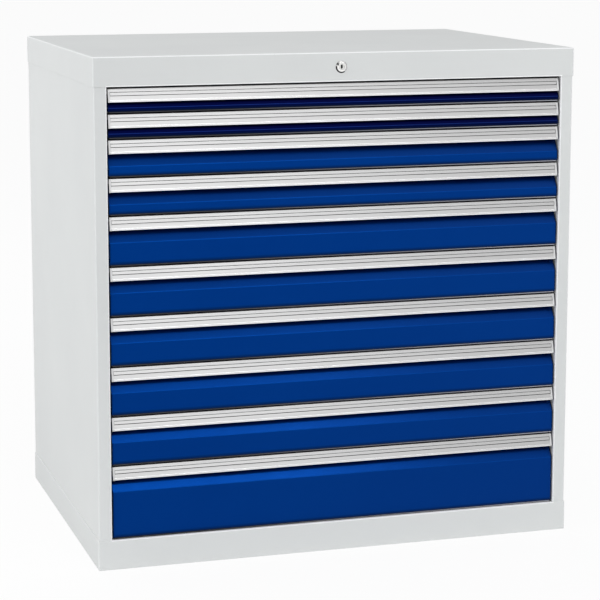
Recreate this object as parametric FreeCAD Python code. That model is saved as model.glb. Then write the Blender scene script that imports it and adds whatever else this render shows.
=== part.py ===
import FreeCAD, Part
import math
import os
from FreeCAD import Vector

# Workshop drawer cabinet of folded sheet steel: a light housing on a plinth,
# ten full-width drawers on telescopic runners and one central lock.
#
# Lengths are in millimetres. X runs to the viewer's right, +Z is up and the drawer
# fronts face -Y. The origin is the middle of the footprint, on the floor. A place
# along the depth is written as d, counted backwards from the housing's front plane.

# Housing
width = 1005.0
depth = 728.0
cover_height = 58.0
plinth_height = 60.0
body_sheet = 1.5
body_bend = 1.0
cover_edge = 2.5
plinth_edge = 1.2
post_width = 27.5
jamb_depth = 40.0
jamb_lip = 12.0
rear_flange = 15.0
plinth_flange = 30.0
back_sheet = 1.2

# Drawers, from the top one down; the list holds the pitch of each drawer
drawer_heights = [50.0, 50.0, 75.0, 75.0, 100.0, 100.0, 100.0, 100.0, 100.0, 150.0]
opening_clearance = 1.0

# Drawer front: one folded sheet, set back in the opening
front_sheet = 1.5
front_bend = 1.5
front_side_gap = 2.8
front_gap_above = 3.5
front_gap_below = 1.5
front_setback = 5.5
grip_wall_setback = 22.0
knee_drop = 54.0
knee_least_rise = 9.5
slope_height = 25.4
front_foot = 12.0
front_rim = 4.5
front_top_drop = 2.4

# Handle: an aluminium extrusion over the whole drawer front
handle_height = 25.8
handle_setback = 8.5
handle_lean = 5.5
handle_wall = 1.9
handle_leg = 10.0
nose_radius = 2.2
nose_step = 3.4
label_top_lip = 6.1
label_window = 8.0
label_depth = 1.5
label_lip_sheet = 0.6
label_undercut = 0.8
finger_line_drop = 22.2
finger_line_width = 0.7
finger_line_depth = 0.5
cap_nose_flat = 1.8
cap_length = 4.5

# Tray
tray_sheet = 1.0
tray_floor_height = 4.0
tray_top_gap = 10.0
rear_space = 98.5

# Telescopic runners, three nested sections on each side
rail_sheet = 1.5
rail_reach = 10.85
rail_height = 26.4
running_gap = 0.4
rail_axis_height = 22.0
rail_start = 32.0
rail_overhang = 16.0
middle_rail_start = 36.0
hook_reach = 3.5
hook_thickness = 3.0
hook_height = 10.0

# Slotted uprights behind the posts
upright_width = 30.0
upright_sheet = 1.5
slot_width = 4.0
slot_height = 12.0

# Lock cylinder in the middle of the cover's front
ring_radius = 11.0
ring_stand_out = 1.5
ring_edge = 0.8
barrel_radius = 9.0
barrel_length = 24.0
barrel_clearance = 0.1
plug_radius = 6.2
plug_clearance = 0.08
plug_recess = 0.5
keyway_height = 8.0
keyway_width = 1.6
keyway_depth = 10.0
nut_radius = 14.0
nut_thickness = 5.0
shaft_radius = 4.0
shaft_clearance = 0.1
collar_radius = 8.0
collar_length = 3.0
end_play = 0.3

# Central locking behind the trays
lock_lift = 16.0
crank_thickness = 3.0
crank_width = 10.0
crank_pin_radius = 2.5
crank_pin_clearance = 0.6
bar_width = 30.0
bar_sheet = 2.5
bar_gap = 0.3
bar_end_gap = 2.0
head_above_lock = 6.0
finger_width = 20.0
finger_sheet = 2.5
finger_height = 16.0
finger_foot_height = 2.0
finger_clearance = 1.5
catch_width = 26.0
catch_sheet = 1.5
catch_depth = 15.5
catch_tab = 16.0
catch_clearance = 2.0
catch_to_bar = 5.5
stud_radius = 3.0
stud_head_radius = 6.0
stud_head = 2.0
stud_clearance = 0.5
stud_module_numbers = [5, 8, 10]
stud_height_share = 0.65
lock_post_width = 60.0
lock_post_flange = 15.0
bridge_opening = 48.0
bridge_height = 30.0
bridge_sheet = 2.0
bridge_gap = 1.0

# How far a cut runs past what it cuts, and how near an edge lies to where it is looked for
overrun = 5.0
nearness = 0.5

# Worked out from the sizes above
housing_height = plinth_height + sum(drawer_heights) + opening_clearance * 2 + cover_height
front_y = ring_stand_out - (depth + ring_stand_out) / 2
half_width = width / 2
half_opening = half_width - post_width
inner_half_width = half_width - body_sheet * 2
opening_top = housing_height - cover_height
back_panel_face = depth - body_sheet * 2 - back_sheet
jamb_back = body_sheet + jamb_depth
lock_height = housing_height - cover_height / 2

tray_front = grip_wall_setback + front_sheet
tray_back = depth - rear_space
runner_width = rail_reach * 2 + rail_sheet + running_gap * 2
tray_half_width = half_opening - runner_width
front_half_width = half_opening - front_side_gap
rail_end = tray_back + rail_overhang
rear_upright = rail_end - upright_width

catch_back = tray_back + catch_depth
finger_front = catch_back - catch_sheet - finger_clearance - finger_sheet
bar_front = catch_back + catch_to_bar
post_face = bar_front + bar_sheet + bar_gap
crank_offset = lock_lift / 2
crank_radius = math.hypot(crank_offset, crank_offset)


def drawer_bases():
    """The height of the lower end of each drawer's pitch, from the top drawer down."""
    bases = []
    base = opening_top - opening_clearance
    for drawer_height in drawer_heights:
        base = base - drawer_height
        bases.append(base)
    return bases


def box(x0, x1, d0, d1, z0, z1):
    """A block between two X values, two depths and two heights."""
    corner = Vector(x0, front_y + d0, z0)
    return Part.makeBox(x1 - x0, d1 - d0, z1 - z0, corner)


def rod(radius, d0, d1, x, z):
    """A round bar along the depth, from d0 to d1."""
    return Part.makeCylinder(radius, d1 - d0, Vector(x, front_y + d0, z), Vector(0, 1, 0))


def hexagon(radius, d0, d1, x, z):
    """A six-sided bar along the depth, its corners on the given radius."""
    corners = []
    for side in range(7):
        angle = math.radians(60 * side)
        corners.append(Vector(x + math.cos(angle) * radius, front_y + d0, z + math.sin(angle) * radius))
    return Part.Face(Part.makePolygon(corners)).extrude(Vector(0, d1 - d0, 0))


def mirrored(shape):
    """The same piece on the other side of the cabinet."""
    return shape.mirror(Vector(0, 0, 0), Vector(1, 0, 0))


def across(x):
    """Places an outline of (d, z) points in the plane at X = x."""
    return lambda d, z: Vector(x, front_y + d, z)


def level(z):
    """Places an outline of (x, d) points in the plane at Z = z."""
    return lambda x, d: Vector(x, front_y + d, z)


def heading(start, end):
    """The unit vector from one outline point to the next."""
    length = math.hypot(end[0] - start[0], end[1] - start[1])
    return ((end[0] - start[0]) / length, (end[1] - start[1]) / length)


def other_face(corners, thickness):
    """The corners of a sheet's second face, on the right of its first."""
    headings = [heading(a, b) for a, b in zip(corners, corners[1:])]
    before = [headings[0]] + headings
    after = headings + [headings[-1]]
    moved = []
    for corner, one, two in zip(corners, before, after):
        reach = thickness / (1 + one[0] * two[0] + one[1] * two[1])
        moved.append((corner[0] + (one[1] + two[1]) * reach, corner[1] - (one[0] + two[0]) * reach))
    return moved


def rounded_run(corners, radii, place):
    """Lines through the corners, with a tangent arc at each inner one whose radius isn't zero."""
    edges = []
    start = corners[0]
    for i, radius in enumerate(radii, start=1):
        corner = corners[i]
        if not radius:
            edges.append(Part.makeLine(place(*start), place(*corner)))
            start = corner
            continue
        one = heading(corners[i - 1], corner)
        two = heading(corner, corners[i + 1])
        turn = math.atan2(one[0] * two[1] - one[1] * two[0], one[0] * two[0] + one[1] * two[1])
        reach = radius * math.tan(abs(turn) / 2)
        side = math.copysign(radius, turn)
        entry = (corner[0] - one[0] * reach, corner[1] - one[1] * reach)
        leave = (corner[0] + two[0] * reach, corner[1] + two[1] * reach)
        centre = (entry[0] - one[1] * side, entry[1] + one[0] * side)
        inward = heading(centre, corner)
        middle = (centre[0] + inward[0] * radius, centre[1] + inward[1] * radius)
        edges.append(Part.makeLine(place(*start), place(*entry)))
        edges.append(Part.Arc(place(*entry), place(*middle), place(*leave)).toShape())
        start = leave
    edges.append(Part.makeLine(place(*start), place(*corners[-1])))
    return edges


def folded_sheet(corners, thickness, bend, place, run, sharp=()):
    """A sheet folded along its corners, with its metal on the right of them, and drawn out.

    Each fold has the inner radius of bend, apart from those at the corners numbered in sharp.
    """
    second = other_face(corners, thickness)
    inner_radii = []
    outer_radii = []
    for i in range(1, len(corners) - 1):
        one = heading(corners[i - 1], corners[i])
        two = heading(corners[i], corners[i + 1])
        turns_right = one[0] * two[1] - one[1] * two[0] < 0
        inner_radius = 0 if i in sharp else bend
        outer_radius = 0 if i in sharp else bend + thickness
        inner_radii.append(outer_radius if turns_right else inner_radius)
        outer_radii.append(inner_radius if turns_right else outer_radius)
    edges = rounded_run(corners, inner_radii, place)
    edges.append(Part.makeLine(place(*corners[-1]), place(*second[-1])))
    edges = edges + rounded_run(second[::-1], outer_radii[::-1], place)
    edges.append(Part.makeLine(place(*second[0]), place(*corners[0])))
    return Part.Face(Part.Wire(edges)).extrude(run)


def drawn_out(points, place, run):
    """A straight-sided outline, drawn out."""
    corners = [place(*point) for point in points]
    return Part.Face(Part.makePolygon(corners + corners[:1])).extrude(run)


def upright_edges(shape, d0, d1):
    """The vertical edges of a shape's corners at depths d0 and d1."""
    found = []
    for edge in shape.Edges:
        low, high = edge.Vertexes[0].Point, edge.Vertexes[-1].Point
        stands = abs(low.x - high.x) + abs(low.y - high.y) < nearness
        if stands and min(abs(low.y - front_y - d0), abs(low.y - front_y - d1)) < nearness:
            found.append(edge)
    return found


def top_edges(shape, z):
    """The edges of a shape that lie at height z."""
    return [edge for edge in shape.Edges
            if all(abs(vertex.Point.z - z) < nearness for vertex in edge.Vertexes)]


def top_cover():
    """The lid: a pan with skirts over the housing's walls and a head over the top drawer."""
    outside = box(-half_width, half_width, 0, depth, opening_top, housing_height)
    outside = outside.makeFillet(cover_edge, upright_edges(outside, 0, depth)
                                 + top_edges(outside, housing_height))
    inside = box(body_sheet - half_width, half_width - body_sheet, body_sheet, depth - body_sheet,
                 opening_top - overrun, housing_height - body_sheet)
    head = box(-half_opening, half_opening, body_sheet, jamb_back, opening_top, opening_top + body_sheet)
    hole = rod(barrel_radius + barrel_clearance, -overrun, body_sheet + overrun, 0, lock_height)
    return outside.cut(inside).fuse(head).cut(hole).removeSplitter()


def plinth():
    """The base: four bands round the foot, flanged inwards below, and the cabinet's floor."""
    outside = box(-half_width, half_width, 0, depth, 0, plinth_height)
    outside = outside.makeFillet(cover_edge, upright_edges(outside, 0, depth))
    outside = outside.makeChamfer(plinth_edge, top_edges(outside, plinth_height))
    inside = box(body_sheet - half_width, half_width - body_sheet, body_sheet, depth - body_sheet,
                 body_sheet, plinth_height + overrun)
    flange_hole = box(plinth_flange - half_width, half_width - plinth_flange,
                      plinth_flange, depth - plinth_flange, -overrun, body_sheet + overrun)
    ring = outside.cut(inside).cut(flange_hole)
    front_end = box(-half_width, half_width, 0, plinth_flange, 0, plinth_height)
    rear_end = box(-half_width, half_width, depth - plinth_flange, depth, 0, plinth_height)
    sill = box(-half_opening, half_opening, body_sheet, jamb_back,
               plinth_height - body_sheet, plinth_height)
    floor = box(-inner_half_width, inner_half_width, jamb_back, back_panel_face,
                plinth_height - body_sheet, plinth_height)
    front_band = ring.common(front_end).fuse(sill).removeSplitter()
    rear_band = ring.common(rear_end)
    side_bands = ring.cut(front_end).cut(rear_end)
    return Part.makeCompound([front_band, rear_band, floor] + side_bands.Solids)


def side_panel():
    """The right side wall, folded at the front into the post and the jamb."""
    face = half_width - body_sheet
    corners = [
        (face - rear_flange, depth - body_sheet),
        (face, depth - body_sheet),
        (face, body_sheet),
        (half_opening, body_sheet),
        (half_opening, jamb_back),
        (half_opening + jamb_lip, jamb_back),
    ]
    run = Vector(0, 0, housing_height - body_sheet * 2 - body_bend)
    return folded_sheet(corners, body_sheet, body_bend, level(body_sheet), run)


def lock_post():
    """The folded post on the back panel that carries the lock bar."""
    half = lock_post_width / 2
    corners = [
        (half + lock_post_flange, back_panel_face - body_sheet),
        (half, back_panel_face - body_sheet),
        (half, post_face),
        (-half, post_face),
        (-half, back_panel_face - body_sheet),
        (-half - lock_post_flange, back_panel_face - body_sheet),
    ]
    run = Vector(0, 0, housing_height - body_sheet - plinth_height)
    return folded_sheet(corners, body_sheet, body_bend, level(plinth_height), run)


def stud_heights():
    """Where the studs that guide the lock bar stand, in the taller drawers' pitches."""
    bases = drawer_bases()
    return [bases[number - 1] + drawer_heights[number - 1] * stud_height_share
            for number in stud_module_numbers]


def guide_stud(z):
    """A shouldered stud on the lock post, with its head in front of the lock bar."""
    neck = rod(stud_radius, bar_front - bar_gap, post_face, 0, z)
    head = hexagon(stud_head_radius, bar_front - bar_gap - stud_head, bar_front - bar_gap, 0, z)
    return neck.fuse(head)


def bearing_bridge():
    """The bracket over the lock bar that carries the rear end of the lock's shaft."""
    half = bridge_opening / 2
    front = bar_front - bridge_gap * 2 - crank_thickness
    corners = [(-half, post_face), (-half, front), (half, front), (half, post_face)]
    run = Vector(0, 0, bridge_height)
    bridge = folded_sheet(corners, bridge_sheet, body_bend, level(lock_height - bridge_height / 2), run)
    return bridge.cut(rod(shaft_radius + shaft_clearance, front - overrun, post_face, 0, lock_height))


def back_panel():
    """The rear wall, with the lock post, its guide studs and the shaft's bearing."""
    half = inner_half_width - body_bend
    panel = box(-half, half, back_panel_face, back_panel_face + back_sheet,
                body_sheet, housing_height - body_sheet)
    studs = [guide_stud(z) for z in stud_heights()]
    return Part.makeCompound([panel, lock_post(), bearing_bridge()] + studs)


def upright(d):
    """A slotted channel between the side wall and the runners, its front edge at depth d."""
    corners = [
        (inner_half_width, d),
        (half_opening, d),
        (half_opening, d + upright_width),
        (inner_half_width, d + upright_width),
    ]
    run = Vector(0, 0, housing_height - body_sheet - plinth_height)
    channel = folded_sheet(corners, upright_sheet, body_bend, level(plinth_height), run, sharp=(1, 2))
    middle = d + upright_width / 2
    slots = []
    for base in drawer_bases():
        z = base + rail_axis_height
        slots.append(box(half_opening - overrun, half_opening + upright_sheet + overrun,
                         middle - slot_width / 2, middle + slot_width / 2,
                         z - slot_height / 2, z + slot_height / 2))
    return channel.cut(Part.makeCompound(slots))


def uprights():
    """Two uprights on each side."""
    right = [upright(jamb_back), upright(rear_upright)]
    return Part.makeCompound(right + [mirrored(piece) for piece in right])


def channel_section(back, reach, half_height):
    """A C section whose back is at X = back and whose flanges run to the side of reach."""
    side = math.copysign(rail_sheet, reach)
    return [
        (back, -half_height),
        (back + reach, -half_height),
        (back + reach, rail_sheet - half_height),
        (back + side, rail_sheet - half_height),
        (back + side, half_height - rail_sheet),
        (back + reach, half_height - rail_sheet),
        (back + reach, half_height),
        (back, half_height),
    ]


def rail(section, d0, d1, z):
    """A runner section from d0 to d1, its middle at height z."""
    def place(x, rise):
        return Vector(x, front_y + d0, z + rise)
    return drawn_out(section, place, Vector(0, d1 - d0, 0))


def cabinet_rail(base):
    """The outer runner section, hooked into the slots of the two uprights."""
    half_height = rail_height / 2 + (rail_sheet + running_gap) * 2
    z = base + rail_axis_height
    piece = rail(channel_section(half_opening, -rail_reach, half_height), rail_start, rail_end, z)
    for d in (jamb_back, rear_upright):
        middle = d + upright_width / 2
        piece = piece.fuse(box(half_opening, half_opening + hook_reach,
                               middle - hook_thickness / 2, middle + hook_thickness / 2,
                               z - hook_height / 2, z + hook_height / 2))
    return piece.removeSplitter()


def cabinet_rails():
    """The fixed runner sections of all drawers, on both sides."""
    right = [cabinet_rail(base) for base in drawer_bases()]
    return Part.makeCompound(right + [mirrored(piece) for piece in right])


def middle_rails(base):
    """The two sliding sections between the fixed rails and the drawer's own."""
    web = tray_half_width + rail_reach + running_gap
    inner = tray_half_width + rail_sheet + running_gap
    outer = half_opening - rail_sheet - running_gap
    top = rail_height / 2 + running_gap + rail_sheet
    under = top - rail_sheet
    section = [
        (inner, -top), (outer, -top), (outer, -under), (web + rail_sheet, -under),
        (web + rail_sheet, under), (outer, under), (outer, top), (inner, top),
        (inner, under), (web, under), (web, -under), (inner, -under),
    ]
    piece = rail(section, middle_rail_start, tray_back, base + rail_axis_height)
    return Part.makeCompound([piece, mirrored(piece)])


def catch(base):
    """The hook on a tray's back wall that the lock bar's finger holds."""
    tab_foot = base + finger_foot_height + finger_height + finger_sheet + catch_clearance
    top = tab_foot + catch_tab + catch_sheet
    corners = [(tray_back, top), (catch_back, top), (catch_back, tab_foot)]
    return folded_sheet(corners, catch_sheet, body_bend, across(-catch_width / 2),
                        Vector(catch_width, 0, 0), sharp=(1,))


def tray(base, drawer_height):
    """The drawer's box of welded sheets, with its own runner sections and its catch."""
    low = base + tray_floor_height
    top = base + drawer_height - tray_top_gap
    inner = tray_half_width - tray_sheet
    front_inside = tray_front + tray_sheet
    back_inside = tray_back - tray_sheet
    floor = box(-inner, inner, front_inside, back_inside, low, low + tray_sheet)
    side = box(inner, tray_half_width, front_inside, back_inside, low, top)
    front = box(-tray_half_width, tray_half_width, tray_front, front_inside, low, top)
    back = box(-tray_half_width, tray_half_width, back_inside, tray_back, low, top)
    own_rail = rail(channel_section(tray_half_width, rail_reach, rail_height / 2),
                    middle_rail_start, tray_back, base + rail_axis_height)
    return Part.makeCompound([floor, side, mirrored(side), front, back,
                              own_rail, mirrored(own_rail), catch(base)])


def drawer_front(base, drawer_height):
    """The painted front: a flat face that turns back above its knee to leave room for fingers.

    The two folds that stay out of sight, at the foot and at the top rim, are sharp.
    """
    low = base + front_gap_below
    handle_top = base + drawer_height - front_gap_above
    knee = max(base + drawer_height - knee_drop, base + knee_least_rise)
    top = handle_top - front_top_drop
    corners = [
        (tray_front, low + front_foot),
        (tray_front, low),
        (front_setback, low),
        (front_setback, knee),
        (grip_wall_setback, knee + slope_height),
        (grip_wall_setback, top),
        (grip_wall_setback + front_rim, top),
    ]
    return folded_sheet(corners, front_sheet, front_bend, across(-front_half_width),
                        Vector(front_half_width * 2, 0, 0), sharp=(1, 5))


def handle_outline(top):
    """The extrusion's section as (d, z) points: its front, three points on its nose, its rear."""
    length = math.hypot(handle_lean, handle_height)
    down = (-handle_lean / length, -handle_height / length)
    inward = (handle_height / length, -handle_lean / length)

    def on_face(drop, inset):
        """A point this far down the sloping face and this far behind it."""
        return (handle_setback + down[0] * drop + inward[0] * inset,
                top + down[1] * drop + inward[1] * inset)

    window_foot = label_top_lip + label_window
    pocket_back = label_depth + label_lip_sheet
    nose_drop = length - nose_radius
    web_back = label_depth + label_lip_sheet + handle_wall
    line_middle = finger_line_drop + finger_line_width / 2
    front = [
        on_face(0, 0),
        on_face(label_top_lip, 0),
        on_face(label_top_lip, label_lip_sheet),
        on_face(label_top_lip - label_undercut, label_lip_sheet),
        on_face(label_top_lip - label_undercut, pocket_back),
        on_face(window_foot + label_undercut, pocket_back),
        on_face(window_foot + label_undercut, label_lip_sheet),
        on_face(window_foot, label_lip_sheet),
        on_face(window_foot, 0),
        on_face(finger_line_drop, 0),
        on_face(line_middle, finger_line_depth),
        on_face(finger_line_drop + finger_line_width, 0),
        on_face(nose_drop, 0),
    ]
    nose = [on_face(length, nose_radius + offset) for offset in (-cap_nose_flat / 2, 0, cap_nose_flat / 2)]
    rear = [
        on_face(nose_drop, nose_radius * 2),
        on_face(nose_drop - nose_step, handle_wall),
        on_face(window_foot + label_undercut + handle_wall, handle_wall),
        on_face(window_foot + label_undercut + handle_wall, web_back),
        (on_face(handle_wall * 2, web_back)[0], top - handle_wall),
        (grip_wall_setback - handle_wall, top - handle_wall),
        (grip_wall_setback - handle_wall, top - handle_leg),
        (grip_wall_setback, top - handle_leg),
        (grip_wall_setback, top),
    ]
    return front, nose, rear


def handle_section(top, x0, x1):
    """A length of the handle's section between two X values."""
    place = across(x0)
    front, nose, rear = handle_outline(top)
    edges = [Part.makeLine(place(*a), place(*b)) for a, b in zip(front, front[1:])]
    edges.append(Part.Arc(place(*front[-1]), place(*nose[1]), place(*rear[0])).toShape())
    edges = edges + [Part.makeLine(place(*a), place(*b)) for a, b in zip(rear, rear[1:])]
    edges.append(Part.makeLine(place(*rear[-1]), place(*front[0])))
    return Part.Face(Part.Wire(edges)).extrude(Vector(x1 - x0, 0, 0))


def handle(base, drawer_height):
    """The handle strip, cut to length between its two end caps."""
    reach = front_half_width - cap_length
    return handle_section(base + drawer_height - front_gap_above, -reach, reach)


def end_cap(base, drawer_height):
    """The moulded cap on the handle's right end: its section with a plain face and a blunt nose."""
    front, nose, rear = handle_outline(base + drawer_height - front_gap_above)
    outline = [front[0], front[-1], nose[0], nose[-1]] + rear
    return drawn_out(outline, across(front_half_width - cap_length), Vector(cap_length, 0, 0))


def end_caps(base, drawer_height):
    """Both end caps of one handle."""
    piece = end_cap(base, drawer_height)
    return Part.makeCompound([piece, mirrored(piece)])


def lock_housing():
    """The lock's threaded barrel with its front ring, and the nut behind the cover's skirt."""
    ring = rod(ring_radius, -ring_stand_out, 0, 0, lock_height)
    rim = [edge for edge in ring.Edges
           if all(vertex.Point.y < front_y - nearness for vertex in edge.Vertexes)
           and edge.Curve.TypeId == "Part::GeomCircle"]
    ring = ring.makeChamfer(ring_edge, rim)
    barrel = rod(barrel_radius, 0, barrel_length, 0, lock_height)
    bore = rod(plug_radius + plug_clearance, -ring_stand_out - overrun, barrel_length + overrun,
               0, lock_height)
    body = ring.fuse(barrel).cut(bore).removeSplitter()
    nut = hexagon(nut_radius, body_sheet, body_sheet + nut_thickness, 0, lock_height)
    nut = nut.cut(rod(barrel_radius + barrel_clearance, 0, barrel_length, 0, lock_height))
    return Part.makeCompound([body, nut])


def lock_core():
    """The plug with its keyway, the long shaft and the crank that works the lock bar."""
    crank_back = bar_front - bridge_gap
    crank_front = crank_back - crank_thickness
    plug = rod(plug_radius, plug_recess - ring_stand_out, barrel_length + end_play, 0, lock_height)
    keyway = box(-keyway_width / 2, keyway_width / 2, -ring_stand_out - overrun,
                 keyway_depth, lock_height - keyway_height / 2, lock_height + keyway_height / 2)
    collar_start = barrel_length + end_play
    collar = rod(collar_radius, collar_start, collar_start + collar_length, 0, lock_height)
    shaft = rod(shaft_radius, collar_start, crank_back, 0, lock_height)
    arm = rod(crank_width / 2, crank_front, crank_back, 0, lock_height)
    arm_end = rod(crank_width / 2, crank_front, crank_back,
                  -crank_offset, lock_height - crank_offset)
    half = crank_width / 2 * crank_offset / crank_radius
    corners = [
        (half, lock_height - half),
        (half - crank_offset, lock_height - half - crank_offset),
        (-half - crank_offset, lock_height + half - crank_offset),
        (-half, lock_height + half),
    ]

    def place(x, z):
        return Vector(x, front_y + crank_front, z)
    web = drawn_out(corners, place, Vector(0, crank_thickness, 0))
    pin = rod(crank_pin_radius, crank_back, bar_front + bar_sheet, -crank_offset,
              lock_height - crank_offset)
    body = plug.cut(keyway)
    for piece in (collar, shaft, arm, arm_end, web, pin):
        body = body.fuse(piece)
    return body.removeSplitter()


def finger(base):
    """A folded finger of the lock bar, its tip turned up in front of the catch."""
    foot = base + finger_foot_height
    corners = [
        (finger_front, foot + finger_sheet + finger_height),
        (finger_front, foot),
        (bar_front, foot),
    ]
    return folded_sheet(corners[::-1], finger_sheet, body_bend, across(-finger_width / 2),
                        Vector(finger_width, 0, 0), sharp=(1,))


def lock_bar():
    """The flat bar behind the trays, with its slots and one finger for each drawer."""
    half = bar_width / 2
    bar = box(-half, half, bar_front, bar_front + bar_sheet,
              plinth_height + bar_end_gap, lock_height + head_above_lock)
    pin_room = crank_pin_radius + crank_pin_clearance
    pin_height = lock_height - crank_offset
    cuts = [box(-crank_radius - pin_room, pin_room - crank_offset,
                bar_front - overrun, bar_front + bar_sheet + overrun,
                pin_height - pin_room, pin_height + pin_room)]
    stud_room = stud_radius + stud_clearance
    for z in stud_heights():
        cuts.append(box(-stud_room, stud_room, bar_front - overrun, bar_front + bar_sheet + overrun,
                        z - lock_lift - stud_room, z + stud_room))
    bar = bar.cut(Part.makeCompound(cuts))
    return Part.makeCompound([bar] + [finger(base) for base in drawer_bases()])


def nodes():
    """Every named piece of the cabinet with its shape."""
    wall = side_panel()
    pieces = {
        "top_cover": top_cover(),
        "plinth": plinth(),
        "right_side_panel": wall,
        "left_side_panel": mirrored(wall),
        "back_panel": back_panel(),
        "uprights": uprights(),
        "cabinet_rails": cabinet_rails(),
        "lock_housing": lock_housing(),
        "lock_core": lock_core(),
        "lock_bar": lock_bar(),
    }
    for number, base in enumerate(drawer_bases(), start=1):
        drawer_height = drawer_heights[number - 1]
        name = f"drawer_{number:02d}"
        pieces[f"{name}_front"] = drawer_front(base, drawer_height)
        pieces[f"{name}_handle"] = handle(base, drawer_height)
        pieces[f"{name}_end_caps"] = end_caps(base, drawer_height)
        pieces[f"{name}_tray"] = tray(base, drawer_height)
        pieces[f"{name}_middle_rails"] = middle_rails(base)
    return pieces


os.makedirs("parts", exist_ok=True)
for node, shape in nodes().items():
    shape.exportStep(f"parts/{node}.step")
    print(node, len(shape.Solids), "solids", "valid" if shape.isValid() else "NOT VALID",
          round(shape.Volume))
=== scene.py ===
# %% [markdown]
# # A workshop drawer cabinet, dressed for its photograph
#
# The cabinet is a light grey housing of folded sheet steel with ten deep blue drawers,
# each with an aluminium handle strip over its whole width. Its shapes come from the
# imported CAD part, which stays as it is. This script gives every surface the finish that
# the real one has, adds the small things that a CAD model leaves out, and sets the
# camera, the floor and the light.
#
# Everything is in metres. X runs to the right, Z is up, and the drawers face -Y.

# %% Load the frame
import math

import bmesh
import bpy
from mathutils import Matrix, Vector


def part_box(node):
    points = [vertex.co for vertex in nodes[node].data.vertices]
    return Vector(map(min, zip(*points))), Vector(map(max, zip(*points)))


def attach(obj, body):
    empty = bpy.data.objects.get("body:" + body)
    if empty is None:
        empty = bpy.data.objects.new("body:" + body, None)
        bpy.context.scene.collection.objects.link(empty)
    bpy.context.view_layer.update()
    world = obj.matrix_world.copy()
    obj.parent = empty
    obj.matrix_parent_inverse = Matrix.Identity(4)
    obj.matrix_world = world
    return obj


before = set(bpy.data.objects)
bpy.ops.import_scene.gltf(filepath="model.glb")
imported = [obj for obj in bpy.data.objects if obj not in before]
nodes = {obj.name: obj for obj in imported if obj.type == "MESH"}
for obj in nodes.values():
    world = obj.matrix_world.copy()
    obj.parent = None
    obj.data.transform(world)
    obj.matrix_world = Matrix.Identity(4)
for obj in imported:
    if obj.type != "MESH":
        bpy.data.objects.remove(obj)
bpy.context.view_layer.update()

# %% [markdown]
# ## The camera
#
# A product picture is taken from well back with a long lens, so that the cabinet's
# verticals stay nearly parallel. The place, the two angles and the lens below were
# fitted to the housing's seven visible corners and to the edges of all ten handles. The
# picture is a crop, so the lens axis isn't in its middle: a small shift of the sensor
# does the same. The shift is kept lower than the best fit asks for, because it stays on
# in the other views, and the corners still fall within two pixels of their places.

# %% Camera
picture_pixels = 600
sensor_width = 36.0
lens_pixels = 2072.29
axis_pixel = (284.56, 236.0)
eye = (-1.29665, -4.26748, 1.29122)
heading = -16.796
tilt = -8.843

camera_data = bpy.data.cameras.new("photo_camera")
camera_data.sensor_width = sensor_width
camera_data.lens = lens_pixels * sensor_width / picture_pixels
camera_data.shift_x = (picture_pixels / 2 - axis_pixel[0]) / picture_pixels
camera_data.shift_y = (axis_pixel[1] - picture_pixels / 2) / picture_pixels
camera = bpy.data.objects.new("photo_camera", camera_data)
camera.location = eye
camera.rotation_euler = (math.radians(90 + tilt), 0, math.radians(heading))
bpy.context.scene.collection.objects.link(camera)
bpy.context.scene.camera = camera
print("lens", round(camera_data.lens, 2),
      "shift", round(camera_data.shift_x, 4), round(camera_data.shift_y, 4))

# %% [markdown]
# ## The white background
#
# The cabinet stands in a white studio. A white wall lit until it is pure white would
# also throw that light on the paint, so the white is only what the camera, mirrors and
# glass see: the Light Path node tells those rays from the ones that light the object.
# The ones that light it get a softer white with a touch of blue.

# %% White background
studio_light = (0.97, 0.985, 1.0)
studio_strength = 0.60


def maths(tree, operation, first, second=None):
    """One step of arithmetic; each input is a socket or a number."""
    node = tree.nodes.new("ShaderNodeMath")
    node.operation = operation
    for socket, value in zip(node.inputs, (first, second)):
        if isinstance(value, (int, float)):
            socket.default_value = value
        elif value is not None:
            tree.links.new(value, socket)
    return node.outputs[0]


def seen_directly(tree):
    """1 for rays from the camera, off a gloss or through glass, and 0 for those that only light."""
    rays = tree.nodes.new("ShaderNodeLightPath").outputs
    seen = maths(tree, "MAXIMUM", rays["Is Camera Ray"], rays["Is Glossy Ray"])
    return maths(tree, "MAXIMUM", seen, rays["Is Transmission Ray"])


def mixed_shaders(tree, share, first, second):
    """A shader between first and second."""
    node = tree.nodes.new("ShaderNodeMixShader")
    for socket, value in zip(node.inputs, (share, first, second)):
        tree.links.new(value, socket)
    return node.outputs[0]


def glowing(tree, kind, colour, strength):
    """A Background or Emission node in a colour."""
    node = tree.nodes.new(kind)
    node.inputs["Color"].default_value = (*colour, 1)
    node.inputs["Strength"].default_value = strength
    return node.outputs[0]


world = bpy.data.worlds.new("studio")
world.use_nodes = True
bpy.context.scene.world = world
sky = world.node_tree
sky.nodes.clear()
soft_light = glowing(sky, "ShaderNodeBackground", studio_light, studio_strength)
white = glowing(sky, "ShaderNodeBackground", (1, 1, 1), 1.0)
sky_out = sky.nodes.new("ShaderNodeOutputWorld")
sky.links.new(mixed_shaders(sky, seen_directly(sky), soft_light, white), sky_out.inputs["Surface"])
bpy.context.scene.view_settings.view_transform = "Standard"
print("the sky is white, its light strength", studio_strength)

# %% [markdown]
# ## The floor
#
# The floor is white to the camera in the same way, but only in part. It keeps a small
# share of its real shading, so the soft shadow at the plinth stays.

# %% Floor
floor_grey = 0.86
floor_white_share = 0.93
floor_reach = 40.0

floor_mesh = bpy.data.meshes.new("studio_floor")
floor_mesh.from_pydata([(-floor_reach, -floor_reach, 0), (floor_reach, -floor_reach, 0),
                        (floor_reach, floor_reach, 0), (-floor_reach, floor_reach, 0)], [], [(0, 1, 2, 3)])
floor = bpy.data.objects.new("studio_floor", floor_mesh)
bpy.context.scene.collection.objects.link(floor)

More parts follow.
